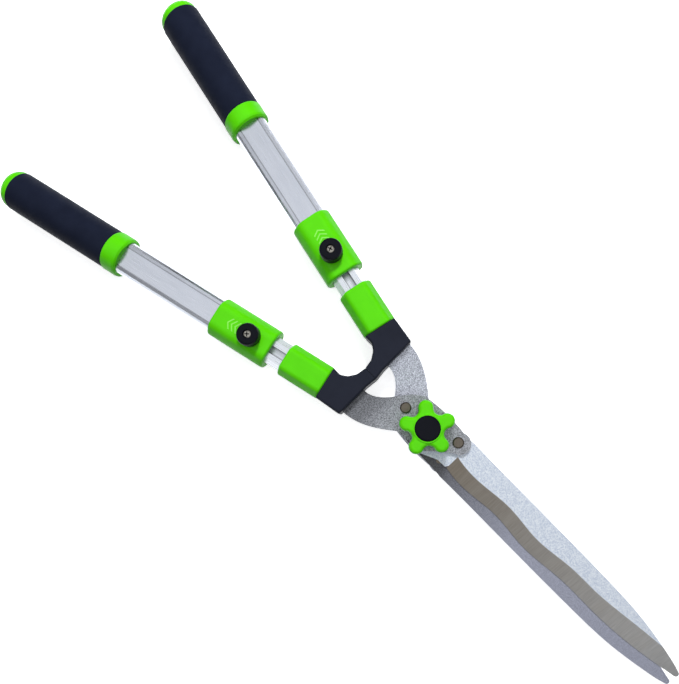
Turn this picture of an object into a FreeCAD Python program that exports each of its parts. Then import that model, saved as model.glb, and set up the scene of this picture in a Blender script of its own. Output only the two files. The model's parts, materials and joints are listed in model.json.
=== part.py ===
import FreeCAD, Part
import math
import os
import Sketcher

# Telescopic hedge shears with wavy blades, shown closed.
# Frame: origin on the pivot axis, in the shear plane between the two blades; +X runs along the
# closed blades towards their tips and +Z along the pivot axis towards the star knob.
# The right handle lies on +Y and carries the lower blade, the left one on -Y the upper blade.
# A handle's pieces are drawn along +X, the coordinate u, which starts where the two handle axes
# cross, and are then turned into place.  A blade's pieces are drawn for the upper half; the
# lower half is the same set turned over about the X axis.

doc = FreeCAD.newDocument("hedge_shears")
vector = FreeCAD.Vector

# ------------------------------------------------------------ driving dimensions (mm and degrees)

DIMENSIONS = {
    "handle_angle": 12.7, "axes_cross_x": 52.6, "blade_set_angle": -0.8,
    "plate_thickness": 3.0, "shear_gap": 0.1, "edge_thickness": 0.5, "bevel_width": 11.5,
    "pivot_diameter": 9.0, "pivot_hole": 9.1, "rivet_diameter": 5.0, "rivet_head": 8.5,
    "front_rivet_x": 23.8, "front_rivet_y": 9.6, "rear_rivet_x": 22.3, "nose_radius": 9.8,
    "joggle_start_x": 28.5, "joggle_end_x": 56.0, "tang_end_x": 96.0,
    "tongue_start_u": 117.0, "tongue_end_u": 147.0, "tongue_width": 14.0,
    "fork_front_x": 54.5, "fork_half_height": 10.4, "fork_end_u": 135.0, "horn_gap": 0.15,
    "fork_screw_u": 128.0, "sleeve_screw_u": 224.0, "screw_diameter": 3.6, "screw_head": 7.0,
    "lower_sleeve_end_u": 172.0, "lower_sleeve_width": 27.6, "lower_sleeve_height": 24.4,
    "lower_sleeve_flat": 17.0, "lower_sleeve_corner": 5.5, "sleeve_end_radius": 1.9,
    "inner_start_u": 120.0, "inner_end_u": 427.0, "inner_width": 22.6, "inner_height": 17.2,
    "inner_flat": 14.9, "inner_wall": 1.5, "channel_width": 6.2, "channel_depth": 5.2,
    "detent_pitch": 50.0, "detent_count": 5.0, "detent_diameter": 4.6,
    "outer_start_u": 187.0, "outer_end_u": 438.0, "outer_width": 27.0, "outer_height": 21.0,
    "outer_flat": 16.8, "outer_wall": 1.4, "groove_width": 0.8, "groove_depth": 0.7,
    "lock_sleeve_start_u": 185.0, "lock_sleeve_end_u": 237.0, "lock_sleeve_width": 32.5,
    "lock_sleeve_height": 26.6, "lock_sleeve_flat": 19.6, "lock_sleeve_corner": 9.5,
    "lock_u": 203.0, "knob_radius": 8.7, "knob_height": 9.4, "cross_width": 0.9, "cross_length": 3.8,
    "boss_radius": 6.0, "boss_bore": 4.0, "boss_height": 5.9, "pin_radius": 1.9,
    "spring_wire": 0.5, "spring_turns": 3.0, "slide_gap": 0.3,
    "collar_start_u": 327.0, "collar_end_u": 341.0, "collar_diameter": 33.6,
    "grip_end_u": 438.0, "grip_diameter": 32.7,
    "cap_end_u": 447.0, "cap_diameter": 31.6, "cap_plug_length": 4.0, "guide_end_u": 432.0,
    "star_lobes": 5.0, "star_turn": 5.0, "star_tip_radius": 21.0, "star_lobe_radius": 5.5,
    "star_valley_radius": 12.6, "star_base_z": 8.8, "star_top_z": 25.0, "star_edge_radius": 3.0,
    "star_rim_height": 0.7, "star_rim_width": 1.1, "star_rim_radius": 0.5,
    "star_cap_radius": 9.5, "star_cap_top_z": 26.2,
    "bolt_head_radius": 9.0, "bolt_head_height": 5.0, "nut_across_flats": 13.0,
}

sheet = doc.addObject("Spreadsheet::Sheet", "dimensions")
for row, (alias, number) in enumerate(DIMENSIONS.items(), start=1):
    sheet.set("A%d" % row, alias)
    sheet.set("B%d" % row, str(number))
    sheet.setAlias("B%d" % row, alias)
doc.recompute()


def size(alias):
    """One driving dimension, read back from the sheet."""
    return float(sheet.get(alias))


def bound(formula):
    """A formula in sheet aliases, written with @ in front of each, as a FreeCAD expression."""
    return formula.replace("@", "dimensions.")


def value(formula):
    return float(sheet.evalExpression(formula.replace("@", "")))


# ------------------------------------------------------------ frames

SIDES = {"right": 1, "left": -1}
Z_AXIS = vector(0, 0, 1)
parts = []


def handle_placement(side):
    """Turns a piece drawn along u so that it lies along one handle."""
    turn = 180.0 - SIDES[side] * size("handle_angle")
    return FreeCAD.Placement(vector(size("axes_cross_x"), 0, 0), FreeCAD.Rotation(Z_AXIS, turn))


def half_placement(side):
    """Leaves an upper-half piece as drawn, or turns it over for the lower half."""
    half_turn = 0.0 if side == "left" else 180.0
    return FreeCAD.Placement(vector(0, 0, 0), FreeCAD.Rotation(vector(1, 0, 0), half_turn))


def blade_placement(side):
    """The closed blades lie at a small angle to the centre line of the handles."""
    set_turn = FreeCAD.Placement(vector(0, 0, 0), FreeCAD.Rotation(Z_AXIS, size("blade_set_angle")))
    return set_turn * half_placement(side)


def keep(thing, label, placement=None):
    """Names and places one finished piece; the label is also its file name."""
    thing.Label = label
    if placement is not None:
        thing.Placement = placement
    parts.append(thing)
    return thing


# ------------------------------------------------------------ sketches

def new_body(name):
    return doc.addObject("PartDesign::Body", name)


def new_sketch(body, name, role="XY_Plane", height=None):
    """A sketch on one of the body's own origin planes, raised by a formula if given."""
    sketch = body.newObject("Sketcher::SketchObject", name)
    plane = next(item for item in body.Origin.OriginFeatures if item.Role == role)
    sketch.AttachmentSupport = (plane, [""])
    sketch.MapMode = "FlatFace"
    if height is not None:
        sketch.setExpression("AttachmentOffset.Base.z", bound(height))
    return sketch


def outline(sketch, corners):
    """A closed outline of straight lines whose corners are pairs of formulas."""
    first = sketch.GeometryCount
    numbers = [(value(x), value(y)) for x, y in corners]
    count = len(corners)
    for index in range(count):
        here = vector(*numbers[index], 0)
        there = vector(*numbers[(index + 1) % count], 0)
        sketch.addGeometry(Part.LineSegment(here, there), False)
    for index in range(count):
        following = first + (index + 1) % count
        sketch.addConstraint(Sketcher.Constraint("Coincident", first + index, 2, following, 1))
    for index, corner in enumerate(corners):
        for kind, formula, number in zip(("DistanceX", "DistanceY"), corner, numbers[index]):
            row = sketch.addConstraint(Sketcher.Constraint(kind, -1, 1, first + index, 1, number))
            sketch.setExpression("Constraints[%d]" % row, bound(formula))


def ring(sketch, x, y, radius):
    """A circle whose centre and radius are formulas."""
    centre = vector(value(x), value(y), 0)
    index = sketch.addGeometry(Part.Circle(centre, Z_AXIS, value(radius)), False)
    middle = (-1, 1, index, 3)
    rules = (("Radius", (index,), radius), ("DistanceX", middle, x), ("DistanceY", middle, y))
    for kind, where, formula in rules:
        row = sketch.addConstraint(Sketcher.Constraint(kind, *where, value(formula)))
        sketch.setExpression("Constraints[%d]" % row, bound(formula))


def octagon(width, height, flat, side_share=0.42):
    """Corners of an extrusion's section, flat on top and below, with sloping shoulders."""
    half_width, half_flat, half_height = "(%s)/2" % width, "(%s)/2" % flat, "(%s)/2" % height
    shoulder = "(%s)/2*%g" % (height, side_share)
    quarter = [(half_width, shoulder), (half_flat, half_height)]
    left = [("-(%s)" % x, y) for x, y in reversed(quarter)]
    upper = quarter + left
    lower = [("-(%s)" % x, "-(%s)" % y) for x, y in upper]
    return upper + lower


# ------------------------------------------------------------ features

def pad(body, name, sketch, length, midplane=False, reverse=False):
    feature = body.newObject("PartDesign::Pad", name)
    feature.Profile = sketch
    feature.setExpression("Length", bound(length))
    feature.Midplane = midplane
    feature.Reversed = reverse
    return feature


def pocket(body, name, sketch, length=None, reverse=False):
    """Cuts a sketch away, right through both ways if no length is given."""
    feature = body.newObject("PartDesign::Pocket", name)
    feature.Profile = sketch
    if length is None:
        feature.Type = "ThroughAll"
        feature.Midplane = True
    else:
        feature.setExpression("Length", bound(length))
    feature.Reversed = reverse
    doc.recompute()
    return feature


def turned(name, corners, axis="V_Axis"):
    """A body of revolution: corners (radius, height) about Z, or (u, radius) about u."""
    body = new_body(name)
    sketch = new_sketch(body, name + "_profile", "XZ_Plane")
    outline(sketch, corners)
    feature = body.newObject("PartDesign::Revolution", name + "_turned")
    feature.Profile = sketch
    feature.ReferenceAxis = (sketch, [axis])
    feature.Angle = 360.0
    doc.recompute()
    return body


def round_edges(body, name, radius, wanted):
    """Fillets the edges of the body's tip for which wanted(edge) is true."""
    doc.recompute()
    base = body.Tip
    names = ["Edge%d" % number for number, edge in enumerate(base.Shape.Edges, start=1) if wanted(edge)]
    feature = body.newObject("PartDesign::Fillet", name)
    feature.Base = (base, names)
    feature.setExpression("Radius", bound(radius))
    doc.recompute()
    return feature


def cut(base, tools, name):
    """Base less each tool in turn; the tools stay as pieces of their own."""
    result = base
    for number, tool in enumerate(tools):
        feature = doc.addObject("Part::Cut", "%s_%d" % (name, number))
        feature.Base = result
        feature.Tool = tool
        result = feature
    doc.recompute()
    return result


def lies_along(edge, direction, tolerance=1e-3):
    """True for a straight edge parallel to the direction."""
    if edge.Curve.TypeId != "Part::GeomLine":
        return False
    return edge.tangentAt(edge.FirstParameter).cross(direction).Length < tolerance


def at_height(edge, height, axis="z", tolerance=0.05):
    """True for an edge that lies wholly at one coordinate."""
    return all(abs(getattr(vertex.Point, axis) - height) < tolerance for vertex in edge.Vertexes)


# ------------------------------------------------------------ hidden screws

def screw_way(name, side, u):
    """An upright drill through one handle, as wide as a screw's shank."""
    drill = doc.addObject("Part::Cylinder", name)
    drill.setExpression("Radius", bound("@screw_diameter/2"))
    drill.Height = 40
    across = FreeCAD.Placement(vector(value(u), 0, -20), FreeCAD.Rotation())
    drill.Placement = handle_placement(side).multiply(across)
    return drill


def screw(name, side, u, face, point):
    """A countersunk screw from below: its head is flush at height face, its end at height point."""
    rim, shank = "@screw_head/2", "@screw_diameter/2"
    recess, deep = "0.9", face + "+0.8"
    body = turned(name + "_body", [
        (recess, face), (rim, face), (rim, face + "+0.3"), (shank, face + "+1.7"),
        (shank, point), ("0", point), ("0", deep), (recess, deep)])
    across = FreeCAD.Placement(vector(value(u), 0, 0), FreeCAD.Rotation())
    return keep(body, name, handle_placement(side).multiply(across))


# ------------------------------------------------------------ blades and tangs (upper half)

# The cutting edge is a wave that dies out towards the straight front half, then rises to the tip.
EDGE_LINE = [(31.5, -9.6), (56.0, -10.9), (82.0, -8.3), (112.0, -10.4), (146.0, -7.4), (182.0, -6.9),
             (208.0, -5.2), (234.0, -1.2), (249.8, 2.0)]
# The ground bevel's inner line follows the same wave about 11 mm further in.
BEVEL_LINE = [(31.5, 2.0), (56.0, 0.4), (85.0, 3.0), (115.0, 0.8), (146.0, 4.1), (172.0, 4.7),
              (190.0, 6.4), (208.0, 8.7), (226.0, 10.7), (262.0, 13.5)]
# The back of the blade is nearly straight and drops to the tip.
SPINE_LINE = [(250.4, 6.3), (244.5, 8.1), (235.0, 10.2), (218.0, 13.3), (198.0, 15.7), (172.0, 16.8),
              (100.0, 17.5), (33.0, 18.0)]
TIP_POINT = (252.2, 4.0)
# Round the pivot the blade ends in a heel that the tang covers.
HEEL_LINE = [(0.0, 17.0), (-23.0, 8.5), (-27.8, 0.0), (-22.0, -9.0), (0.0, -16.2), (10.5, -16.0)]
HEEL_STEP = [(15.0, -13.8), (22.5, -10.3), (30.0, -10.0), (31.5, -7.6)]


def spline(points, z=0.0):
    """A smooth curve through a few points."""
    curve = Part.BSplineCurve()
    curve.interpolate([vector(x, y, z) for x, y in points])
    return curve


def blade_wire():
    tip = [SPINE_LINE[0], TIP_POINT, EDGE_LINE[-1]]
    edges = [spline(EDGE_LINE).toShape()]
    edges.append(Part.Arc(*[vector(x, y, 0) for x, y in reversed(tip)]).toShape())
    edges.append(spline(SPINE_LINE).toShape())
    edges.append(spline([SPINE_LINE[-1]] + HEEL_LINE).toShape())
    steps = [HEEL_LINE[-1]] + HEEL_STEP + [EDGE_LINE[0]]
    for start, end in zip(steps, steps[1:]):
        edges.append(Part.LineSegment(vector(*start, 0), vector(*end, 0)).toShape())
    return Part.Wire(edges)


def ruled_block(low_a, low_b, high_a, high_b):
    """A solid between four matching curves: its floor runs a to b low down, its roof high up."""
    faces = [Part.makeRuledSurface(low_a, low_b), Part.makeRuledSurface(high_a, high_b)]
    faces += [Part.makeRuledSurface(low_a, high_a), Part.makeRuledSurface(low_b, high_b)]
    for end in (0, -1):
        ring_points = [edge.Vertexes[end].Point for edge in (low_a, low_b, high_b, high_a)]
        faces.append(Part.Face(Part.makePolygon(ring_points + ring_points[:1])))
    shell = Part.Shell(Part.makeCompound(faces).Faces)
    shell.sewShape()
    solid = Part.Solid(shell)
    if solid.Volume < 0:
        solid.reverse()
    return solid


def bevel_cutter():
    """What the grinding wheel takes off: everything above a ramp from bevel line to edge."""
    bottom = size("shear_gap")
    top = bottom + size("plate_thickness")
    outside = 1.5  # how far the ramp runs out past the edge, so that it cuts right through
    slope = (size("plate_thickness") - size("edge_thickness")) / size("bevel_width")
    edge_z = bottom + size("edge_thickness") - slope * outside
    outer = [(x, y - outside) for x, y in EDGE_LINE[:-1]] + [(262.0, 1.0)]
    low = [spline(BEVEL_LINE, top).toShape(), spline(outer, edge_z).toShape()]
    high = [spline(line, top + 2).toShape() for line in (BEVEL_LINE, outer)]
    return ruled_block(*low, *high)


def round_holes(name, places, diameter, depth="40"):
    """Upright drills, as one compound tool, at (x, y) places given by formulas."""
    drills = []
    for number, (x, y) in enumerate(places):
        drill = doc.addObject("Part::Cylinder", "%s_%d" % (name, number))
        drill.setExpression("Radius", bound("%s/2" % diameter))
        drill.setExpression("Height", bound(depth))
        drill.setExpression("Placement.Base.x", bound(x))
        drill.setExpression("Placement.Base.y", bound(y))
        drill.setExpression("Placement.Base.z", bound("-%s/2" % depth))
        drills.append(drill)
    return drills


RIVET_PLACES = [("@front_rivet_x", "@front_rivet_y"), ("-@rear_rivet_x", "0")]


def make_blade(side):
    blank = doc.addObject("Part::Feature", side + "_blade_blank")
    face = Part.Face(blade_wire())
    face.translate(vector(0, 0, size("shear_gap")))
    blank.Shape = face.extrude(vector(0, 0, size("plate_thickness")))
    wheel = doc.addObject("Part::Feature", side + "_bevel")
    wheel.Shape = bevel_cutter()
    holes = round_holes(side + "_blade_pivot_hole", [("0", "0")], "@pivot_hole")
    holes += round_holes(side + "_blade_rivet_hole", RIVET_PLACES, "@rivet_diameter")
    blade = cut(blank, [wheel] + holes, side + "_ground_blade")
    return keep(blade, side + "_blade", blade_placement(side))


# The cranked part of the tang as shares of its run and of its drop: a bend, a straight ramp, a bend.
JOGGLE = [(0.12, 0.04), (0.27, 0.18), (0.73, 0.82), (0.88, 0.96), (1.0, 1.0)]


def tongue_corner(u, v):
    """A point of the tang's tongue, which lies along the left handle inside the inner tube."""
    turn = math.radians(size("handle_angle"))
    x = size("axes_cross_x") - u * math.cos(turn) + v * math.sin(turn)
    y = -u * math.sin(turn) - v * math.cos(turn)
    return x, y


def tang_wire():
    """Plan of the cranked plate that joins the blade's heel to the fork and the inner tube."""
    front = vector(size("front_rivet_x"), size("front_rivet_y"), 0)
    outer = [(-13.7, -16.7), (-22.9, -23.9), (-38.2, -32.8), (-55.0, -36.6)]
    inner = [(-55.0, -13.2), (-45.0, -10.4), (-35.6, -1.6), (-26.3, 10.2), (-18.0, 16.6)]
    half = size("tongue_width") / 2
    near, far = size("tongue_start_u"), size("tongue_end_u")
    tongue = [tongue_corner(u, v) for u, v in ((near, half), (far, half), (far, -half), (near, -half))]
    nose = size("nose_radius")
    top_of_nose = front + vector(-2.0, nose * 0.82, 0)
    low_of_nose = front + vector(4.0, -nose * 0.78, 0)
    edges = [spline(outer).toShape(), spline(inner).toShape()]
    edges.append(Part.Arc(vector(*inner[-1], 0), vector(2.0, 18.6, 0), top_of_nose).toShape())
    edges.append(Part.Arc(top_of_nose, front + vector(nose, 0.4, 0), low_of_nose).toShape())
    hidden = [low_of_nose, vector(20.0, -4.0, 0), vector(8.0, -15.4, 0), vector(*outer[0], 0)]
    rear = [vector(x, y, 0) for x, y in [outer[-1], (-58.0, -36.6)] + tongue + [(-58.0, -13.2), inner[0]]]
    for run in (hidden, rear):
        edges += [Part.LineSegment(start, end).toShape() for start, end in zip(run, run[1:])]
    return Part.Wire(Part.sortEdges(edges)[0])


def make_tang(side):
    """Plan outline and side profile crossed: the joggle brings the plate to the handles' plane."""
    plan = doc.addObject("Part::Feature", side + "_tang_plan")
    plan.Shape = Part.Face(tang_wire()).extrude(vector(0, 0, 10))
    plan.Placement = FreeCAD.Placement(vector(0, 0, -3), FreeCAD.Rotation())
    profile = new_body(side + "_tang_side")
    sketch = new_sketch(profile, side + "_tang_side_profile", "XZ_Plane")
    drop, run = "(@shear_gap+1.5*@plate_thickness)", "(@joggle_end_x-@joggle_start_x)"
    bend = [("60", drop), ("-@joggle_start_x", drop)]
    for share, fallen in JOGGLE:
        bend.append(("-@joggle_start_x-%g*%s" % (share, run), "%g*%s" % (1 - fallen, drop)))
    bend.append(("-@tang_end_x", "0"))
    top = [(x, z + "+@plate_thickness/2") for x, z in bend]
    under = [(x, z + "-@plate_thickness/2") for x, z in bend]
    outline(sketch, top + under[::-1])
    pad(profile, side + "_tang_side_pad", sketch, "140", midplane=True)
    doc.recompute()
    crossed = doc.addObject("Part::Common", side + "_tang_common")
    crossed.Base = plan
    crossed.Tool = profile
    holes = round_holes(side + "_tang_pivot_hole", [("0", "0")], "@pivot_hole")
    holes += round_holes(side + "_tang_rivet_hole", RIVET_PLACES, "@rivet_diameter")
    plate = cut(crossed, holes, side + "_tang_drilled")
    plate.Placement = blade_placement(side)
    fixing_hole = screw_way(side + "_tang_screw_hole", side, "@fork_screw_u")
    return keep(cut(plate, [fixing_hole], side + "_tang_finished"), side + "_tang")


def make_blade_rivets(side):
    """Two rivets, flush at the shear face and domed on the tang."""
    low, high = "@shear_gap", "@shear_gap+2*@plate_thickness"
    dome = "@rivet_head/2"
    rivets = []
    for number, (x, y) in enumerate(RIVET_PLACES):
        rivet = turned("%s_rivet_%d" % (side, number), [
            ("0", low), ("@rivet_diameter/2", low), ("@rivet_diameter/2", high), (dome, high),
            (dome, high + "+0.9"), (dome + "-0.9", high + "+1.5"), ("0", high + "+1.7")])
        rivet.setExpression("Placement.Base.x", bound(x))
        rivet.setExpression("Placement.Base.y", bound(y))
        rivets.append(rivet)
    group = doc.addObject("Part::Compound", side + "_rivets")
    group.Links = rivets
    return keep(group, side + "_blade_rivets", blade_placement(side))


# ------------------------------------------------------------ forks

def fork_end(v):
    """Global x and y formulas of a point on the left fork's end, v to its outer side."""
    along, across = "@fork_end_u", "(%s)" % v
    turn = "(@handle_angle*1deg)"
    x = "@axes_cross_x-%s*cos%s+%s*sin%s" % (along, turn, across, turn)
    y = "-%s*sin%s-%s*cos%s" % (along, turn, across, turn)
    return x, y


def make_fork(side, tang, screw_piece, tube_space):
    """The moulded elbow: a socket for tube and tang, with a horn that stops the closing."""
    body = new_body(side + "_fork_body")
    sketch = new_sketch(body, side + "_fork_plan")
    front, gap = "-@fork_front_x", "-@horn_gap"
    outline(sketch, [
        fork_end("@lower_sleeve_width/2-0.6"), (front, "-38.9"), (front, "-9"),
        ("-53.4", gap), ("-65.2", gap), ("-66.4", "-7.6"), ("-70.2", "-13.4"), ("-75.2", "-17.0"),
        fork_end("-@lower_sleeve_width/2+0.6")])
    pad(body, side + "_fork_pad", sketch, "2*@fork_half_height", midplane=True)
    inner_corners = [(-66.4, -7.6), (-70.2, -13.4), (-75.2, -17.0)]

    def concave(edge):
        point = edge.Vertexes[0].Point
        near = any(math.hypot(point.x - x, point.y - y) < 0.3 for x, y in inner_corners)
        return near and lies_along(edge, Z_AXIS)

    round_edges(body, side + "_fork_inside", "5.0", concave)

    def front_corner(edge):
        point = edge.Vertexes[0].Point
        return lies_along(edge, Z_AXIS) and point.y < -36 and point.x > -60

    round_edges(body, side + "_fork_corner", "1.6", front_corner)
    half = size("fork_half_height")
    end = [value(formula) for formula in fork_end("0")]
    turn = math.radians(size("handle_angle"))

    def rim(edge):
        middle = edge.valueAt((edge.FirstParameter + edge.LastParameter) / 2)
        on_end = abs((middle.x - end[0]) * math.cos(turn) + (middle.y - end[1]) * math.sin(turn)) < 0.1
        on_horn = abs(middle.y + size("horn_gap")) < 0.1
        return (at_height(edge, half) or at_height(edge, -half)) and not on_end and not on_horn

    round_edges(body, side + "_fork_rim", "2.0", rim)
    body.Placement = half_placement(side)
    drill = doc.addObject("Part::Feature", side + "_fork_tools")
    drill.Shape = Part.makeCompound([tang.Shape, tube_space])
    fork = cut(body, [drill, screw_piece], side + "_fork_cut")
    return keep(fork, side + "_fork")


# ------------------------------------------------------------ tubes

def section_body(name, sections, start, end):
    """Extrudes a section along u; further sections are hollows inside the first."""
    body = new_body(name)
    sketch = new_sketch(body, name + "_section", "YZ_Plane", start)
    for corners in sections:
        outline(sketch, corners)
    pad(body, name + "_pad", sketch, "%s-(%s)" % (end, start))
    doc.recompute()
    return body


def inner_section():
    """Outer line of the inner tube, with a channel along the middle of its top."""
    corners = octagon("@inner_width", "@inner_height", "@inner_flat")
    top, floor = "@inner_height/2", "@inner_height/2-@channel_depth"
    half = "@channel_width/2"
    channel = [(half, top), (half, floor), ("-" + half, floor), ("-" + half, top)]
    return corners[:2] + channel + corners[2:]


def inner_hollow():
    wall = "2*@inner_wall"
    corners = octagon("@inner_width-" + wall, "@inner_height-" + wall, "@inner_flat-1.2")
    roof, below = "@inner_height/2-@inner_wall", "@inner_height/2-@channel_depth-@inner_wall"
    half = "(@channel_width/2+@inner_wall)"
    channel = [(half, roof), (half, below), ("-" + half, below), ("-" + half, roof)]
    return corners[:2] + channel + corners[2:]


def make_inner_tube(side):
    sections = [inner_section(), inner_hollow()]
    body = section_body(side + "_inner_body", sections, "@inner_start_u", "@inner_end_u")
    floor = new_sketch(body, side + "_detents", "XY_Plane")
    for number in range(int(size("detent_count"))):
        ring(floor, "@lock_u+%d*@detent_pitch" % number, "0", "@detent_diameter/2")
    pocket(body, side + "_detent_holes", floor, "@inner_height", reverse=True)
    body.Placement = handle_placement(side)
    fixing_hole = screw_way(side + "_tube_screw_hole", side, "@fork_screw_u")
    return keep(cut(body, [fixing_hole], side + "_inner_drilled"), side + "_inner_tube")


def short_way(side):
    """The lock sleeve's screw hole, through the lower wall of the outer tube only."""
    drill = screw_way(side + "_outer_screw_hole", side, "@sleeve_screw_u")
    drill.setExpression("Height", bound("20-@outer_height/2+@outer_wall+1"))
    return drill


def outer_section(grooved=False):
    """Outside line of the outer tube: flat top and bottom, shoulders that round over to the sides."""
    edge, top, side = "@outer_flat/2", "@outer_height/2", "@outer_width/2"
    shoulder = [(side, top + "*0.48"), (side + "-1.2", top + "*0.75"), (side + "-2.9", top + "*0.9")]
    if grooved:
        inner_edge = edge + "-@groove_width"
        floor = top + "-@groove_depth"
        shoulder += [(edge, top + "-0.45"), (edge, floor), (inner_edge, floor), (inner_edge, top)]
    else:
        shoulder += [(edge, top + "-0.45"), (edge + "-@groove_width", top)]
    upper = shoulder + [("-(%s)" % x, y) for x, y in reversed(shoulder)]
    return upper + [("-(%s)" % x, "-(%s)" % y) for x, y in upper]


def make_outer_tube(side):
    wall = "2*@outer_wall"
    inside = octagon("@outer_width-" + wall, "@outer_height-" + wall, "@outer_flat-1.2")
    sections = [outer_section(grooved=True), inside]
    body = section_body(side + "_outer_body", sections, "@outer_start_u", "@outer_end_u")
    window = new_sketch(body, side + "_pin_window", "XY_Plane")
    ring(window, "@lock_u", "0", "@boss_bore+0.3")
    pocket(body, side + "_pin_window_cut", window, "@outer_height", reverse=True)
    body.Placement = handle_placement(side)
    tube = cut(body, [short_way(side)], side + "_outer_drilled")
    return keep(tube, side + "_outer_tube")


def make_guide(side):
    """Plastic plug that closes the inner tube's far end and guides it in the outer tube."""
    gap = "2*(@outer_wall+0.3)"
    flange = octagon("@outer_width-" + gap, "@outer_height-" + gap, "@outer_flat-1.2")
    body = section_body(side + "_guide_body", [flange], "@inner_end_u", "@guide_end_u")
    stem = new_sketch(body, side + "_guide_stem", "YZ_Plane", "@inner_end_u")
    half_width, low, high = "@inner_flat/2-0.8", "-@inner_height/2+@inner_wall", "1.6"
    far_side = "-(%s)" % half_width
    outline(stem, [(half_width, low), (half_width, high), (far_side, high), (far_side, low)])
    pad(body, side + "_guide_stem_pad", stem, "12", reverse=True)
    doc.recompute()
    return keep(body, side + "_tube_guide", handle_placement(side))


# ------------------------------------------------------------ sleeves

def sleeve_body(name, width, height, flat, corner, hole, start, end):
    """A moulded sleeve with an eight-sided outside, softened corners and a tube's hole."""
    body = section_body(name, [octagon(width, height, flat, 0.36)], start, end)
    along = vector(1, 0, 0)
    round_edges(body, name + "_corners", corner, lambda edge: lies_along(edge, along))
    ends = (value(start), value(end))

    def on_an_end(edge):
        return any(at_height(edge, u, "x") for u in ends)

    round_edges(body, name + "_ends", "@sleeve_end_radius", on_an_end)
    bore = new_sketch(body, name + "_bore", "YZ_Plane", start)
    outline(bore, hole)
    before = body.Shape.Volume
    pocket(body, name + "_bore_cut", bore)
    if body.Shape.Volume > before * 0.9:
        raise RuntimeError(name + ": the bore has cut nothing")
    return body


def make_lower_sleeve(side):
    hole = octagon("@inner_width", "@inner_height", "@inner_flat")
    shape = ("@lower_sleeve_width", "@lower_sleeve_height", "@lower_sleeve_flat", "@lower_sleeve_corner")
    body = sleeve_body(side + "_lower_sleeve_body", *shape, hole, "@fork_end_u", "@lower_sleeve_end_u")
    return keep(body, side + "_lower_sleeve", handle_placement(side))


def make_lock_sleeve(side):
    """Sleeve on the outer tube's end: a lip round the inner tube, and a boss for the lock's spring."""
    gap = "+2*@slide_gap"
    lip = octagon("@inner_width" + gap, "@inner_height" + gap, "@inner_flat")
    shape = ("@lock_sleeve_width", "@lock_sleeve_height", "@lock_sleeve_flat", "@lock_sleeve_corner")
    start, end = "@lock_sleeve_start_u", "@lock_sleeve_end_u"
    body = sleeve_body(side + "_lock_sleeve_body", *shape, lip, start, end)
    seat_bore = new_sketch(body, side + "_tube_seat", "YZ_Plane", "@outer_start_u")
    outline(seat_bore, outer_section())
    pocket(body, side + "_tube_seat_cut", seat_bore, end + "-@outer_start_u+5", reverse=True)
    seat = "@outer_height/2"
    boss = new_sketch(body, side + "_boss", "XY_Plane", seat)
    ring(boss, "@lock_u", "0", "@boss_radius")
    pad(body, side + "_boss_pad", boss, "@lock_sleeve_height/2-%s+@boss_height" % seat)
    well = new_sketch(body, side + "_well", "XY_Plane", seat + "-0.5")
    ring(well, "@lock_u", "0", "@boss_bore")
    well_depth = "@lock_sleeve_height/2-%s+@boss_height-1.2+0.5" % seat
    pocket(body, side + "_well_cut", well, well_depth, reverse=True)
    throat = new_sketch(body, side + "_throat", "XY_Plane", seat)
    ring(throat, "@lock_u", "0", "@pin_radius+0.06")
    pocket(body, side + "_throat_cut", throat, "30", reverse=True)
    body.Placement = handle_placement(side)
    fixing = screw(side + "_sleeve_screw", side, "@sleeve_screw_u", "-@lock_sleeve_height/2",
                   "-@outer_height/2+@outer_wall-0.1")
    return keep(cut(body, [fixing], side + "_lock_sleeve_drilled"), side + "_lock_sleeve")


# ------------------------------------------------------------ lock

def lock_frame(side):
    """A lock piece is drawn about the Z axis and then carried out along the handle."""
    along = FreeCAD.Placement(vector(size("lock_u"), 0, 0), FreeCAD.Rotation())
    return handle_placement(side).multiply(along)


SLEEVE_TOP = "@lock_sleeve_height/2"
KNOB_TOP = "@lock_sleeve_height/2+0.3+@knob_height"


def make_lock_knob(side):
    base = SLEEVE_TOP + "+0.3"
    hollow = "@boss_radius+0.3"
    ceiling = SLEEVE_TOP + "+@boss_height+0.3"
    screw_seat = KNOB_TOP + "-1.2"
    corners = [
        ("@pin_radius*0.6", ceiling), (hollow, ceiling), (hollow, base), ("@knob_radius-0.5", base),
        ("@knob_radius", base + "+0.6"), ("@knob_radius", KNOB_TOP + "-1.6"),
        ("@knob_radius-0.5", KNOB_TOP + "-0.5"), ("@knob_radius-1.6", KNOB_TOP), ("3.4", KNOB_TOP),
        ("3.4", screw_seat), ("@pin_radius*0.6", screw_seat)]
    return keep(turned(side + "_knob_body", corners), side + "_lock_knob", lock_frame(side))


def make_lock_pin(side):
    """Plunger: collar under the spring, tip reaching down into the inner tube's channel."""
    channel_floor = "@inner_height/2-@channel_depth"
    collar = "@outer_height/2+0.2"
    top = SLEEVE_TOP + "+@boss_height+0.3"
    tip = channel_floor + "+0.4"
    corners = [
        ("0", tip), ("@pin_radius-0.4", tip), ("@pin_radius", tip + "+0.5"), ("@pin_radius", collar),
        ("@boss_bore-0.35", collar), ("@boss_bore-0.35", collar + "+1"), ("@pin_radius", collar + "+1"),
        ("@pin_radius", top), ("@pin_radius*0.6", top), ("@pin_radius*0.6", top + "-4"), ("0", top + "-4")]
    return keep(turned(side + "_pin_body", corners), side + "_lock_pin", lock_frame(side))


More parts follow.
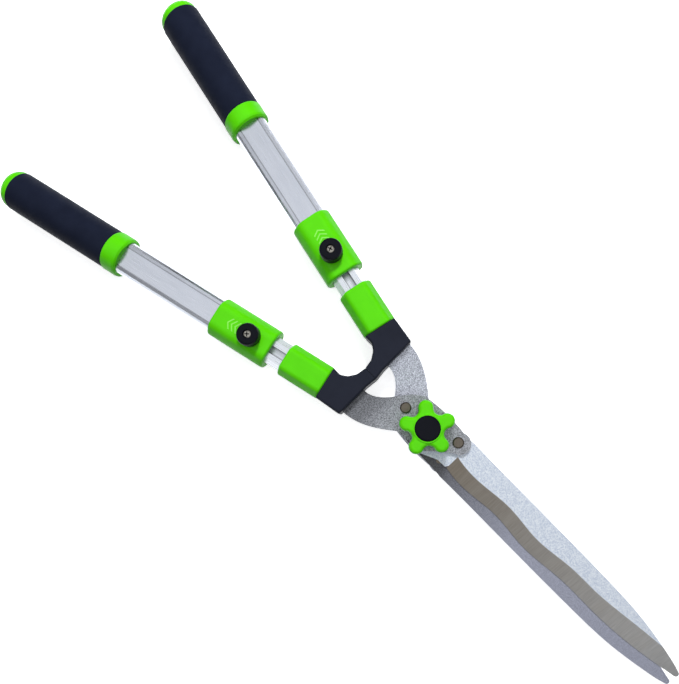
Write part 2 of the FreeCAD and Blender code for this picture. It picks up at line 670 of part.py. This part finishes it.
def make_knob_screw(side):
    """Pan-head screw with a cross recess, from the knob's top into the plunger."""
    head, point = KNOB_TOP + "-1.2", SLEEVE_TOP + "+@boss_height-3.4"
    body = turned(side + "_screw_body", [
        ("0", point), ("@pin_radius*0.6", point), ("@pin_radius*0.6", head), ("3.0", head),
        ("3.0", head + "+0.8"), ("2.2", head + "+1.2"), ("0", head + "+1.3")])
    recess = new_sketch(body, side + "_screw_cross", "XY_Plane", head + "+0.2")
    half, reach = "@cross_width/2", "@cross_length/2"
    quarter = [(reach, half), (half, half), (half, reach)]
    upper = quarter + [("-" + x, y) for x, y in reversed(quarter)]
    outline(recess, upper + [(x, "-" + y) for x, y in reversed(upper)])
    pocket(body, side + "_screw_cross_cut", recess, "3", reverse=True)
    turn = FreeCAD.Placement(vector(0, 0, 0), FreeCAD.Rotation(Z_AXIS, 30))
    return keep(body, side + "_knob_screw", lock_frame(side).multiply(turn))


def make_lock_spring(side):
    """Compression spring between the plunger's collar and the boss's roof."""
    radius = size("spring_wire") / 2
    low = size("outer_height") / 2 + 1.2 + radius
    high = size("lock_sleeve_height") / 2 + size("boss_height") - 1.2 - radius
    mean_radius = (size("boss_bore") + size("pin_radius")) / 2
    helix = Part.makeLongHelix((high - low) / size("spring_turns"), high - low, mean_radius)
    section = Part.Wire(Part.makeCircle(radius, vector(mean_radius, 0, 0), vector(0, 1, 0)))
    spring = doc.addObject("Part::Feature", side + "_spring")
    spring.Shape = Part.Wire(helix).makePipeShell([section], True, True)
    place = lock_frame(side).Base + vector(0, 0, low)
    return keep(spring, side + "_lock_spring", FreeCAD.Placement(place, FreeCAD.Rotation()))


# ------------------------------------------------------------ collar, grip and end cap

def bored(body, name):
    """Cuts the outer tube's section right through a turned body."""
    bore = new_sketch(body, name + "_bore", "YZ_Plane")
    outline(bore, outer_section())
    pocket(body, name + "_bore_cut", bore)
    return body


def make_collar(side):
    """Ring between tube and grip, with a tapered lip towards the tube."""
    start, end, radius = "@collar_start_u", "@collar_end_u", "@collar_diameter/2"
    body = turned(side + "_collar_body", [
        (start, "5"), (start, radius + "-1.6"), (start + "+1.2", radius + "-0.4"), (start + "+2.6", radius),
        (end + "-0.8", radius), (end, radius + "-0.5"), (end, "5")], "H_Axis")
    return keep(bored(body, side + "_collar"), side + "_collar", handle_placement(side))


def make_grip(side):
    """Foam tube pulled over the outer tube; its two ends are rounded."""
    radius = "@grip_diameter/2"
    body = turned(side + "_grip_body", [
        ("@collar_end_u", "5"), ("@collar_end_u", radius + "-0.5"), ("@collar_end_u+0.6", radius),
        ("@grip_end_u-0.6", radius), ("@grip_end_u", radius + "-0.5"), ("@grip_end_u", "5")], "H_Axis")
    return keep(bored(body, side + "_grip"), side + "_grip", handle_placement(side))


def make_end_cap(side):
    """Domed cap with a plug in the outer tube's end."""
    body = new_body(side + "_cap_body")
    sketch = new_sketch(body, side + "_cap_profile", "XZ_Plane")
    start, end, radius = "@grip_end_u", "@cap_end_u", "@cap_diameter/2"
    outline(sketch, [
        (start, "0"), (start, radius + "-0.3"), (start + "+0.6", radius), (start + "+3.4", radius),
        (end + "-3.2", radius + "-1.2"), (end + "-1.3", radius + "-3.6"), (end + "-0.3", radius + "-8"),
        (end, "0")])
    dome = body.newObject("PartDesign::Revolution", side + "_cap_dome")
    dome.Profile = sketch
    dome.ReferenceAxis = (sketch, ["H_Axis"])
    dome.Angle = 360.0
    plug = new_sketch(body, side + "_cap_plug", "YZ_Plane", start)
    gap = "2*@outer_wall"
    outline(plug, octagon("@outer_width-" + gap, "@outer_height-" + gap, "@outer_flat-1.2"))
    pad(body, side + "_cap_plug_pad", plug, "@cap_plug_length", reverse=True)
    doc.recompute()
    return keep(body, side + "_end_cap", handle_placement(side))


# ------------------------------------------------------------ pivot

def make_pivot_bolt():
    """Bolt from below: round head, plain shank through both blades, thread in the star knob."""
    under = "-@shear_gap-2*@plate_thickness"
    head = under + "-@bolt_head_height"
    shank, thread, end = "@pivot_diameter/2", "4", "@star_top_z-4"
    body = turned("bolt_body", [
        ("0", head), ("@bolt_head_radius-1", head), ("@bolt_head_radius", head + "+1"),
        ("@bolt_head_radius", under), (shank, under), (shank, "@star_base_z-0.6"),
        (thread, "@star_base_z-0.2"), (thread, end), ("0", end)])
    return keep(body, "pivot_bolt")


def make_washers():
    """A thick flat washer on the upper tang and a thinner sprung one under the star knob."""
    tang_top = "@shear_gap+2*@plate_thickness"
    bore, rim = "@pivot_hole/2", "@bolt_head_radius"
    under, middle = tang_top + "+0.1", tang_top + "+1.3"
    flat = turned("washer_body", [(bore, under), (rim, under), (rim, middle), (bore, middle)])
    keep(flat, "pivot_washer")
    outer = rim + "-1.5"
    spring = turned("spring_washer_body", [
        (bore, middle + "+0.4"), (outer, middle), (outer, middle + "+0.6"), (bore, middle + "+1")])
    keep(spring, "spring_washer")


def star_outline():
    """Five round lobes joined by hollow arcs, each tangent to the next."""
    lobes = int(size("star_lobes"))
    half_step = math.pi / lobes
    lobe_radius, valley = size("star_lobe_radius"), size("star_valley_radius")
    lobe_centre = size("star_tip_radius") - lobe_radius
    share = 2 * lobe_centre * math.cos(half_step)
    hollow_radius = lobe_radius ** 2 - lobe_centre ** 2 - valley ** 2 + share * valley
    hollow_radius /= 2 * valley - share - 2 * lobe_radius
    hollow_centre = valley + hollow_radius
    edges = []

    def polar(radius, angle):
        return vector(radius * math.cos(angle), radius * math.sin(angle), 0)

    def touch(lobe_angle, hollow_angle):
        lobe, hollow = polar(lobe_centre, lobe_angle), polar(hollow_centre, hollow_angle)
        return lobe + (hollow - lobe) * (lobe_radius / (lobe_radius + hollow_radius))

    for number in range(lobes):
        middle = 2 * half_step * number - math.radians(size("star_turn"))
        before, after = middle - half_step, middle + half_step
        lobe = (touch(middle, before), polar(size("star_tip_radius"), middle), touch(middle, after))
        hollow = (lobe[-1], polar(valley, after), touch(middle + 2 * half_step, after))
        edges += [Part.Arc(*points).toShape() for points in (lobe, hollow)]
    return Part.Wire(edges)


def make_star_knob(nut):
    blank = doc.addObject("Part::Feature", "star_blank")
    base, top = size("star_base_z"), size("star_top_z")
    prism = Part.Face(star_outline()).extrude(vector(0, 0, top - base))
    prism.translate(vector(0, 0, base))
    rims = [edge for edge in prism.Edges if at_height(edge, top) or at_height(edge, base)]
    rim_radius = size("star_cap_radius") + size("star_rim_width")
    rim_bead = Part.makeCylinder(rim_radius, size("star_rim_height") + 1, vector(0, 0, top - 1))
    rim_edge = [edge for edge in rim_bead.Edges if at_height(edge, top + size("star_rim_height"))]
    rim_bead = rim_bead.makeFillet(size("star_rim_radius"), rim_edge)
    blank.Shape = prism.makeFillet(size("star_edge_radius"), rims).fuse(rim_bead)
    tools = []
    for name, radius, low, tall in (("cap_seat", "@star_cap_radius", "@star_top_z-1.5", "10"),
                                    ("bolt_way", "@pivot_hole/2", "0", "@star_top_z")):
        tool = doc.addObject("Part::Cylinder", "star_" + name)
        tool.setExpression("Radius", bound(radius))
        tool.setExpression("Height", bound(tall))
        tool.setExpression("Placement.Base.z", bound(low))
        tools.append(tool)
    return keep(cut(blank, tools + [nut], "star_cut"), "star_knob")


def make_star_nut():
    """Hexagon nut moulded into the star knob."""
    body = new_body("star_nut_body")
    sketch = new_sketch(body, "star_nut_plan", "XY_Plane", "@star_base_z+3")
    corner = "(@nut_across_flats/2/cos(30deg))"
    turns = ["(%ddeg)" % turn for turn in range(0, 360, 60)]
    outline(sketch, [(corner + "*cos" + turn, corner + "*sin" + turn) for turn in turns])
    ring(sketch, "0", "0", "4.05")
    pad(body, "star_nut_pad", sketch, "7")
    doc.recompute()
    return keep(body, "star_nut")


def make_star_cap():
    rim = "@star_cap_radius"
    seat, top = "@star_top_z-1.5", "@star_cap_top_z"
    body = turned("star_cap_body", [
        ("0", seat), (rim + "-0.05", seat), (rim + "-0.05", top + "-1"), (rim + "-0.5", top + "-0.4"),
        (rim + "-1.6", top), ("0", top + "+0.4")])
    return keep(body, "star_cap")


# ------------------------------------------------------------ assembly

for side in SIDES:
    make_blade(side)
    tang = make_tang(side)
    make_blade_rivets(side)
    inner = make_inner_tube(side)
    doc.recompute()
    tube_outline = octagon("@inner_width", "@inner_height", "@inner_flat")
    envelope = section_body(side + "_tube_space", [tube_outline], "@inner_start_u", "@fork_end_u+5")
    envelope.Placement = handle_placement(side)
    face, point = "-@fork_half_height", "@plate_thickness/2+1"
    fixing = screw(side + "_fork_screw", side, "@fork_screw_u", face, point)
    doc.recompute()
    make_fork(side, tang, fixing, envelope.Shape)
    make_lower_sleeve(side)
    make_guide(side)
    make_outer_tube(side)
    make_lock_sleeve(side)
    make_lock_pin(side)
    make_lock_spring(side)
    make_lock_knob(side)
    make_knob_screw(side)
    make_collar(side)
    make_grip(side)
    make_end_cap(side)

make_pivot_bolt()
make_washers()
make_star_knob(make_star_nut())
make_star_cap()
doc.recompute()

# ------------------------------------------------------------ checks and export

for thing in doc.Objects:
    if "Invalid" in thing.State or "Error" in thing.State:
        raise RuntimeError("%s failed: %s" % (thing.Label, thing.State))
for piece in parts:
    if piece.Shape.isNull() or not piece.Shape.isValid() or piece.Shape.Volume <= 0:
        raise RuntimeError("bad shape: " + piece.Label)

os.makedirs("parts", exist_ok=True)
for piece in parts:
    piece.Shape.exportStep("parts/%s.step" % piece.Label)
print(len(parts), "pieces written")
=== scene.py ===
import json
import math

import bmesh
import bpy
from mathutils import Euler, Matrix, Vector


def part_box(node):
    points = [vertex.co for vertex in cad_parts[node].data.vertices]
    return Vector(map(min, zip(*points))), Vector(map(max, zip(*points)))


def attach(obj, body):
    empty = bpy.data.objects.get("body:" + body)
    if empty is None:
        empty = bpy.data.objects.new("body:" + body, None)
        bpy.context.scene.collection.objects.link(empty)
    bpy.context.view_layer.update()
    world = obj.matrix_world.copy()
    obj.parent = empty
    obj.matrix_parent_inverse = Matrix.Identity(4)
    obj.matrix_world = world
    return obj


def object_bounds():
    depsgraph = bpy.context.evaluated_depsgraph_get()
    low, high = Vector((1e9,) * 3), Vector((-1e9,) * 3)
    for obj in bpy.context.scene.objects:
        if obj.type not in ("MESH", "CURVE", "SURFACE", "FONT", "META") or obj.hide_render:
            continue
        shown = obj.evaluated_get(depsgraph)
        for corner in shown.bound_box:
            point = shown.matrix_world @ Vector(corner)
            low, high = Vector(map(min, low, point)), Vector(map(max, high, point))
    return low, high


# Telescopic hedge shears lying on a pale floor: finishes, light and camera around the CAD frame.
# Metres; the origin is on the pivot axis, +X runs to the blade tips, +Z up to the star knob,
# the right handle lies on +Y and the left one on -Y.

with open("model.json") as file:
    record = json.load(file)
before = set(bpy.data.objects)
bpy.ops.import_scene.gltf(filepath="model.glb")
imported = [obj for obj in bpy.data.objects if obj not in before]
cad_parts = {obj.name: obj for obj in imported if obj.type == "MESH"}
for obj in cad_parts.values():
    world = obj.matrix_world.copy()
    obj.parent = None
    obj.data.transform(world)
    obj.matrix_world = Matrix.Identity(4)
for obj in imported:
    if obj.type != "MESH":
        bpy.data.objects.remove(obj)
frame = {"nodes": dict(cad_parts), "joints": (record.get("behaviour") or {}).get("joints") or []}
cad_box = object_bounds()

MM = 0.001
SIDES = ("left", "right")

# The levels multiply the world's own dark grey: for the light it gives, and for the backdrop that
# is seen behind the floor.  The powers are in watts and the floor's size is in metres.
WORLD_LEVEL = 0.18
BACKDROP_LEVEL = 18.0
SOFTBOX_POWER = 15.5
KEY_POWER = 11.5
STRIP_POWER = 2.2
FLOOR_GLOW = 0.7
FLOOR_SIZE = 40.0

# Lock sleeve, in millimetres: how far its boss stands above its flat, and the chevrons on the flat.
# A chevron points to the grip; its arms slope back towards the knob.
BOSS_HEIGHT = 5.9
TICK_COUNT = 3
TICK_FROM_KNOB = 13.2
TICK_PITCH = 3.4
TICK_HALF_WIDTH = 4.6
TICK_SLOPE = 3.0
TICK_STROKE = 1.2
TICK_HEIGHT = 0.35
TICK_SUNK = 0.1
TICK_EDGE = 0.12


# ------------------------------------------------------------------------------ finish building

class Finish:
    """A node material under construction: each method adds a node and returns its output."""

    def __init__(self, name, **settings):
        self.material = bpy.data.materials.new(name)
        self.material.use_nodes = True
        self.tree = self.material.node_tree
        self.shader = self.tree.nodes["Principled BSDF"]
        for setting, value in settings.items():
            self.shader.inputs[setting.replace("_", " ")].default_value = value

    def node(self, kind, inputs=(), **properties):
        """Adds a node; an input takes a value or another node's output."""
        made = self.tree.nodes.new(kind)
        for name, value in properties.items():
            setattr(made, name, value)
        for socket, value in dict(inputs).items():
            if isinstance(value, bpy.types.NodeSocket):
                self.tree.links.new(value, made.inputs[socket])
            else:
                made.inputs[socket].default_value = value
        return made

    def drive(self, setting, output):
        """Feeds one of the shader's inputs from a node."""
        self.tree.links.new(output, self.shader.inputs[setting])

    def place(self, turn=0.0, stretch=(1, 1, 1)):
        """The place on the piece in millimetres, turned about Z and stretched along its axes."""
        where = self.node("ShaderNodeTexCoord").outputs["Object"]
        turned = self.node("ShaderNodeMapping", {"Vector": where, "Rotation": (0, 0, turn)})
        scale = [1 / (MM * length) for length in stretch]
        return self.node("ShaderNodeMapping", {"Vector": turned.outputs[0], "Scale": scale}).outputs[0]

    def noise(self, where, grain, detail=2.0, rough=0.5):
        """Smooth noise from 0 to 1 with grains of that many millimetres."""
        inputs = {"Vector": where, "Scale": 1 / grain, "Detail": detail, "Roughness": rough}
        return self.node("ShaderNodeTexNoise", inputs).outputs["Fac"]

    def ramp(self, value, low, high, to_low=0.0, to_high=1.0):
        """Spreads low..high over to_low..to_high and holds the ends."""
        inputs = {"Value": value, "From Min": low, "From Max": high, "To Min": to_low, "To Max": to_high}
        return self.node("ShaderNodeMapRange", inputs, clamp=True).outputs["Result"]

    def maths(self, operation, first, second=0.0):
        """One arithmetic step on two numbers, such as MULTIPLY."""
        return self.node("ShaderNodeMath", {0: first, 1: second}, operation=operation).outputs[0]

    def blend(self, share, first, second):
        """A colour between two colours."""
        mixed = self.node("ShaderNodeMix", data_type="RGBA")
        for socket, value in ((0, share), (6, first), (7, second)):
            if isinstance(value, bpy.types.NodeSocket):
                self.tree.links.new(value, mixed.inputs[socket])
            else:
                mixed.inputs[socket].default_value = value
        return mixed.outputs[2]

    def bump(self, height, depth, strength=1.0, under=None):
        """A relief of that many millimetres, on top of an earlier one."""
        inputs = {"Height": height, "Distance": depth * MM, "Strength": strength}
        if under is not None:
            inputs["Normal"] = under
        return self.node("ShaderNodeBump", inputs).outputs[0]

    def coordinate(self, where, axis):
        """One coordinate of a place or a direction."""
        return self.node("ShaderNodeSeparateXYZ", {"Vector": where}).outputs[axis]


def colour(red, green, blue):
    """A colour given as it looks on screen, from 0 to 255."""
    def linear(level):
        level /= 255
        return level / 12.92 if level <= 0.04045 else ((level + 0.055) / 1.055) ** 2.4
    return (linear(red), linear(green), linear(blue), 1.0)


# -------------------------------------------------------------------------------------- finishes

def moulded_plastic(name, light, dark, roughness, gloss=1.4, grain=0.35, relief=0.012):
    """Satin moulded plastic: faint clouding and a fine spark-eroded texture."""
    finish = Finish(name, IOR=gloss)
    where = finish.place()
    clouds = finish.noise(where, 14.0)
    finish.drive("Base Color", finish.blend(clouds, dark, light))
    texture = finish.noise(where, grain, detail=3.0)
    smear = finish.noise(where, 5.0)
    spread = finish.ramp(smear, 0.3, 0.7, roughness - 0.05, roughness + 0.06)
    finish.drive("Roughness", spread)
    finish.drive("Normal", finish.bump(texture, relief))
    return finish.material


def drawn_aluminium(name, turn, light, dark, metallic=1.0):
    """Anodised extrusion: fine die lines along the handle, and painted shade darkening its creases."""
    crease_reach = 3.0
    finish = Finish(name, Metallic=metallic)
    along = finish.place(turn, stretch=(60, 1, 1))
    lines = finish.noise(along, 0.3, detail=3.0)
    haze = finish.noise(finish.place(turn, stretch=(4, 1, 1)), 6.0)
    # Painted shade: ambient occlusion blends the creases and the channel towards near-black grey,
    # standing in for the shadow that falls into them.
    openness = finish.node("ShaderNodeAmbientOcclusion", {"Distance": crease_reach * MM}, only_local=True)
    painted_shade = finish.ramp(openness.outputs["AO"], 0.8, 0.45, 0.0, 0.85)
    finish.drive("Base Color", finish.blend(painted_shade, finish.blend(haze, dark, light), colour(34, 34, 38)))
    finish.drive("Roughness", finish.ramp(lines, 0.3, 0.7, 0.24, 0.38))
    finish.drive("Normal", finish.bump(lines, 0.004))
    return finish.material


def blade_metal(name, shear_side):
    """Speckled coat on the outer flat, bare steel on the shear face, and a ground bevel between them."""
    heel_x, bright_x, tip_x = 30.0, 110.0, 230.0
    finish = Finish(name)
    where = finish.place()
    speckle = finish.noise(where, 0.7, detail=4.0, rough=0.7)
    dots = finish.ramp(speckle, 0.42, 0.58)
    along = finish.coordinate(where, "X")
    to_tip = finish.ramp(along, heel_x, tip_x)

    coat = finish.blend(dots, colour(198, 208, 226), colour(244, 249, 255))
    # Bare steel on the shear face; its darkening towards the heel is painted shade, for the shade under
    # the tang and the star knob.
    shaded_bare_heel = finish.blend(dots, colour(66, 66, 70), colour(110, 110, 114))
    bare_tip = finish.blend(dots, colour(142, 144, 160), colour(180, 182, 198))
    bare = finish.blend(finish.ramp(along, heel_x - 10.0, bright_x), shaded_bare_heel, bare_tip)

    marks = finish.noise(finish.place(stretch=(1, 30, 30)), 0.5, detail=3.0)
    # Painted reflection: broad lighter bands across the bevel stand in for light reflected by its wavy
    # ground surface.
    reflection_bands = finish.noise(finish.place(stretch=(1, 8, 8)), 16.0)
    ground = finish.blend(to_tip, colour(146, 136, 123), colour(194, 193, 192))
    ground = finish.blend(finish.ramp(marks, 0.3, 0.7, 0.0, 0.3), ground, colour(84, 78, 72))
    ground = finish.blend(finish.ramp(reflection_bands, 0.45, 0.7, 0.0, 0.35), ground, colour(172, 166, 158))

    facing = finish.node("ShaderNodeNewGeometry").outputs["True Normal"]
    upright = finish.coordinate(facing, "Z")
    on_bevel = finish.ramp(finish.maths("ABSOLUTE", upright), 0.9985, 0.9975)
    on_shear = finish.ramp(finish.maths("MULTIPLY", upright, shear_side), 0.5, 0.6)
    flats = finish.blend(on_shear, coat, bare)
    finish.drive("Base Color", finish.blend(on_bevel, flats, ground))
    finish.drive("Metallic", finish.ramp(on_bevel, 0.0, 1.0, 0.35, 1.0))
    finish.drive("Roughness", finish.ramp(on_bevel, 0.0, 1.0, 0.5, 0.36))
    rough = finish.bump(speckle, 0.03)
    finish.drive("Normal", finish.bump(marks, 0.004, under=rough))
    return finish.material


def speckled_steel(name, light, dark, shaded=1.0, grain=0.8):
    """Pressed steel with a speckled plating; with shaded under 1 the bend near the fork gets painted
    shade, blended towards near black.
    """
    bend_starts, bend_ends = -27.0, -43.0
    finish = Finish(name, Metallic=0.6)
    where = finish.place()
    speckle = finish.noise(where, grain, detail=4.0, rough=0.7)
    plating = finish.blend(finish.ramp(speckle, 0.42, 0.58), dark, light)
    along = finish.coordinate(where, "X")
    # Painted shade: the crank between the two bend marks is darkened for the shade it lies in, not for
    # any change in the steel.
    painted_bend_shade = finish.ramp(along, bend_starts, bend_ends, 0.0, 1.0 - shaded)
    finish.drive("Base Color", finish.blend(painted_bend_shade, plating, colour(20, 20, 22)))
    finish.drive("Roughness", finish.ramp(speckle, 0.3, 0.7, 0.55, 0.38))
    finish.drive("Normal", finish.bump(speckle, 0.06))
    return finish.material


def worn_metal(name, light, dark, roughness, top=None):
    """Small fixings: blotchy plating with fine scratches, and painted shade darkening what lies below a
    given top.
    """
    unshaded_depth, fully_shaded_depth = 0.25, 0.55
    finish = Finish(name, Metallic=1.0)
    where = finish.place()
    blotches = finish.noise(where, 1.6, detail=3.0)
    plating = finish.blend(blotches, dark, light)
    # Painted shade: below the given top, the screw's cross recess is blended towards near black, for the
    # shade inside it.
    if top is not None:
        painted_shade = finish.ramp(finish.coordinate(where, "Z"), top - unshaded_depth, top - fully_shaded_depth)
        plating = finish.blend(painted_shade, plating, colour(24, 23, 22))
    finish.drive("Base Color", plating)
    finish.drive("Roughness", finish.ramp(blotches, 0.3, 0.7, roughness - 0.08, roughness + 0.1))
    scratches = finish.noise(finish.place(turn=0.7, stretch=(12, 1, 1)), 0.2)
    finish.drive("Normal", finish.bump(scratches, 0.006))
    return finish.material


def handle_turn(side):
    """The turn about Z that brings a handle onto the X axis."""
    joint = next(item for item in frame["joints"] if item["name"] == f"{side}_handle_slide")
    x, y, _ = joint["axis"]
    return -math.atan2(y, x)


def tube_finishes(name, light, dark, metallic=1.0):
    """An aluminium for each side, with its die lines along that handle."""
    return {
        side: drawn_aluminium(f"{side}_{name}", handle_turn(side), light, dark, metallic)
        for side in SIDES
    }


screw_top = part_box("left_knob_screw")[1][2] / MM
PLAIN_FINISHES = {
    "green_plastic": moulded_plastic("lime_plastic", colour(98, 228, 12), colour(88, 214, 6), 0.36, 1.26),
    "charcoal_plastic": moulded_plastic(
        "charcoal_plastic", colour(38, 41, 54), colour(30, 33, 44), 0.42, 1.22),
    "knob_plastic": moulded_plastic("knob_plastic", colour(20, 22, 30), colour(12, 13, 20), 0.38, 1.2),
    "guide_plastic": moulded_plastic("guide_plastic", colour(200, 200, 200), colour(188, 188, 188), 0.5),
    "grip_rubber": moulded_plastic(
        "grip_rubber", colour(34, 39, 56), colour(24, 28, 42), 0.5, 1.1, grain=0.5, relief=0.02),
    "rivet_steel": worn_metal("rivet_steel", colour(146, 136, 123), colour(106, 99, 90), 0.45),
    "zinc_screw": worn_metal("zinc_screw", colour(206, 208, 210), colour(176, 178, 182), 0.32),
    "bright_screw": worn_metal(
        "bright_screw", colour(200, 196, 186), colour(150, 146, 136), 0.3, top=screw_top),
    "spring_steel": worn_metal("spring_steel", colour(150, 152, 158), colour(112, 114, 120), 0.35),
}
SIDED_FINISHES = {
    "tube_aluminium": tube_finishes("tube", colour(232, 235, 244), colour(216, 220, 231)),
    "tang_steel": {
        # Painted shade: both tangs are the same plated steel; the upper tang's darker tones and its
        # darkened bend stand in for the shade it lies in.
        "left": speckled_steel("upper_tang", colour(196, 198, 205), colour(126, 127, 132), 0.55),
        "right": speckled_steel("lower_tang", colour(236, 239, 250), colour(156, 158, 170)),
    },
    "blade_steel": {"left": blade_metal("upper_blade", -1), "right": blade_metal("lower_blade", 1)},
}
# Painted highlight: a paler copy of the lime plastic on the raised chevrons, which are moulded in the
# sleeve's own plastic.
TREAD_HIGHLIGHT_FINISH = moulded_plastic("highlight_lime", colour(158, 250, 104), colour(136, 240, 80), 0.3, 1.3)
BRIGHT_TUBES = tube_finishes("bright_tube", colour(240, 242, 248), colour(228, 231, 240), metallic=0.6)


def finish_for(name, kind):
    """The finish of one CAD node: most kinds have one, some have one for each side."""
    side = name.split("_")[0]
    if name.endswith("inner_tube"):
        return BRIGHT_TUBES[side]
    if kind in SIDED_FINISHES:
        return SIDED_FINISHES[kind][side]
    return PLAIN_FINISHES[kind]


def dress_nodes():
    """Gives each CAD node the finish that goes with its material slot."""
    for name, piece in frame["nodes"].items():
        for slot in piece.material_slots:
            slot.material = finish_for(name, slot.material.name.split(".")[0])


def make_tread(side):
    """Three raised chevrons moulded on the lock sleeve, between the knob and the grip; their paler lime
    is a painted highlight.
    """
    (low_x, low_y, _), (high_x, high_y, _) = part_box(f"{side}_lock_knob")
    flat_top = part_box(f"{side}_lock_sleeve")[1][2] - BOSS_HEIGHT * MM
    shape = bmesh.new()
    for number in range(TICK_COUNT):
        start = TICK_FROM_KNOB + TICK_PITCH * number
        inner, outer = start, start + TICK_STROKE
        inner_end, outer_end = start - TICK_SLOPE, start - TICK_SLOPE + TICK_STROKE
        outline = (
            (inner, 0), (inner_end, TICK_HALF_WIDTH), (outer_end, TICK_HALF_WIDTH),
            (outer, 0), (outer_end, -TICK_HALF_WIDTH), (inner_end, -TICK_HALF_WIDTH))
        ring = [shape.verts.new(Vector((u * MM, v * MM, 0))) for u, v in outline]
        for half in ((0, 1, 2, 3), (0, 3, 4, 5)):
            shape.faces.new([ring[index] for index in reversed(half)])
    bmesh.ops.recalc_face_normals(shape, faces=shape.faces)
    made = bmesh.ops.extrude_face_region(shape, geom=shape.faces[:])
    raised = [item for item in made["geom"] if isinstance(item, bmesh.types.BMVert)]
    bmesh.ops.translate(shape, verts=raised, vec=(0, 0, TICK_HEIGHT * MM))
    bmesh.ops.translate(shape, verts=shape.verts, vec=(0, 0, -TICK_SUNK * MM))
    bmesh.ops.recalc_face_normals(shape, faces=shape.faces)
    mesh = bpy.data.meshes.new(f"{side}_tread")
    shape.to_mesh(mesh)
    shape.free()
    tread = bpy.data.objects.new(f"{side}_tread", mesh)
    tread.location = ((low_x + high_x) / 2, (low_y + high_y) / 2, flat_top)
    tread.rotation_euler = (0, 0, -handle_turn(side))
    bpy.context.scene.collection.objects.link(tread)
    edges = tread.modifiers.new("soft_edges", "BEVEL")
    edges.width = TICK_EDGE * MM
    edges.segments = 2
    mesh.materials.append(TREAD_HIGHLIGHT_FINISH)
    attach(tread, f"{side}_telescope")


# ------------------------------------------------------------------------- floor, light, camera

def make_floor():
    """A pale sheet of paper; it throws no diffuse light back on the object."""
    bpy.ops.mesh.primitive_plane_add(size=FLOOR_SIZE, location=(0, 0, cad_box[0][2]))
    floor = bpy.context.object
    floor.name = "floor"
    floor.visible_diffuse = False
    finish = Finish(
        "pale_floor", Roughness=0.9, Specular_IOR_Level=0.0,
        Emission_Strength=FLOOR_GLOW, Emission_Color=(1, 1, 1, 1))
    paper = finish.noise(finish.place(), 40.0)
    finish.drive("Base Color", finish.blend(paper, colour(250, 250, 250), colour(255, 255, 255)))
    floor.data.materials.append(finish.material)


def area_light(name, place, aim, width, depth, power):
    """A rectangular lamp at one place in metres, turned towards another."""
    lamp = bpy.data.lights.new(name, "AREA")
    lamp.shape = "RECTANGLE"
    lamp.size, lamp.size_y = width, depth
    lamp.energy = power
    lamp.color = (0.96, 0.98, 1.0)
    holder = bpy.data.objects.new(name, lamp)
    holder.location = place
    holder.rotation_euler = (Vector(aim) - Vector(place)).to_track_quat("-Z", "Y").to_euler()
    bpy.context.scene.collection.objects.link(holder)
    return holder


def make_light():
    """Softbox overhead, lamp beyond the right handle, low strip on the -Y side, pale backdrop."""
    world = bpy.data.worlds.new("studio")
    bpy.context.scene.world = world
    world.use_nodes = True
    nodes, links = world.node_tree.nodes, world.node_tree.links
    level = nodes.new("ShaderNodeMapRange")
    level.inputs["To Min"].default_value = WORLD_LEVEL
    level.inputs["To Max"].default_value = BACKDROP_LEVEL
    links.new(nodes.new("ShaderNodeLightPath").outputs["Is Camera Ray"], level.inputs["Value"])
    links.new(level.outputs["Result"], nodes["Background"].inputs["Strength"])
    middle = (-0.05, 0.0, 0.0)
    area_light("softbox", (0.0, 0.25, 1.2), (0.0, 0.25, 0.0), width=2.6, depth=2.2, power=SOFTBOX_POWER)
    key_light = area_light("key_light", (-0.55, 0.65, 1.0), middle, width=0.2, depth=0.2, power=KEY_POWER)
    key_light.visible_glossy = False
    area_light("edge_strip", (-0.1, -1.4, 0.16), middle, width=2.0, depth=0.3, power=STRIP_POWER)
    bpy.context.scene.view_settings.view_transform = "Standard"


def make_camera():
    """Looks down on the pivot from about half a metre, with the blades towards the lower right."""
    lens = bpy.data.cameras.new("camera")
    lens.sensor_fit = "HORIZONTAL"
    lens.sensor_width = 36.0
    lens.lens = 31.84
    lens.shift_x = -0.0048
    lens.shift_y = 0.0978
    holder = bpy.data.objects.new("camera", lens)
    holder.location = Vector((-10.74, -17.11, 462.80)) * MM
    holder.rotation_euler = Euler([math.radians(angle) for angle in (2.521, 5.467, 45.054)])
    bpy.context.scene.collection.objects.link(holder)
    bpy.context.scene.camera = holder


make_camera()
make_light()
make_floor()
dress_nodes()
for side in SIDES:
    make_tread(side)
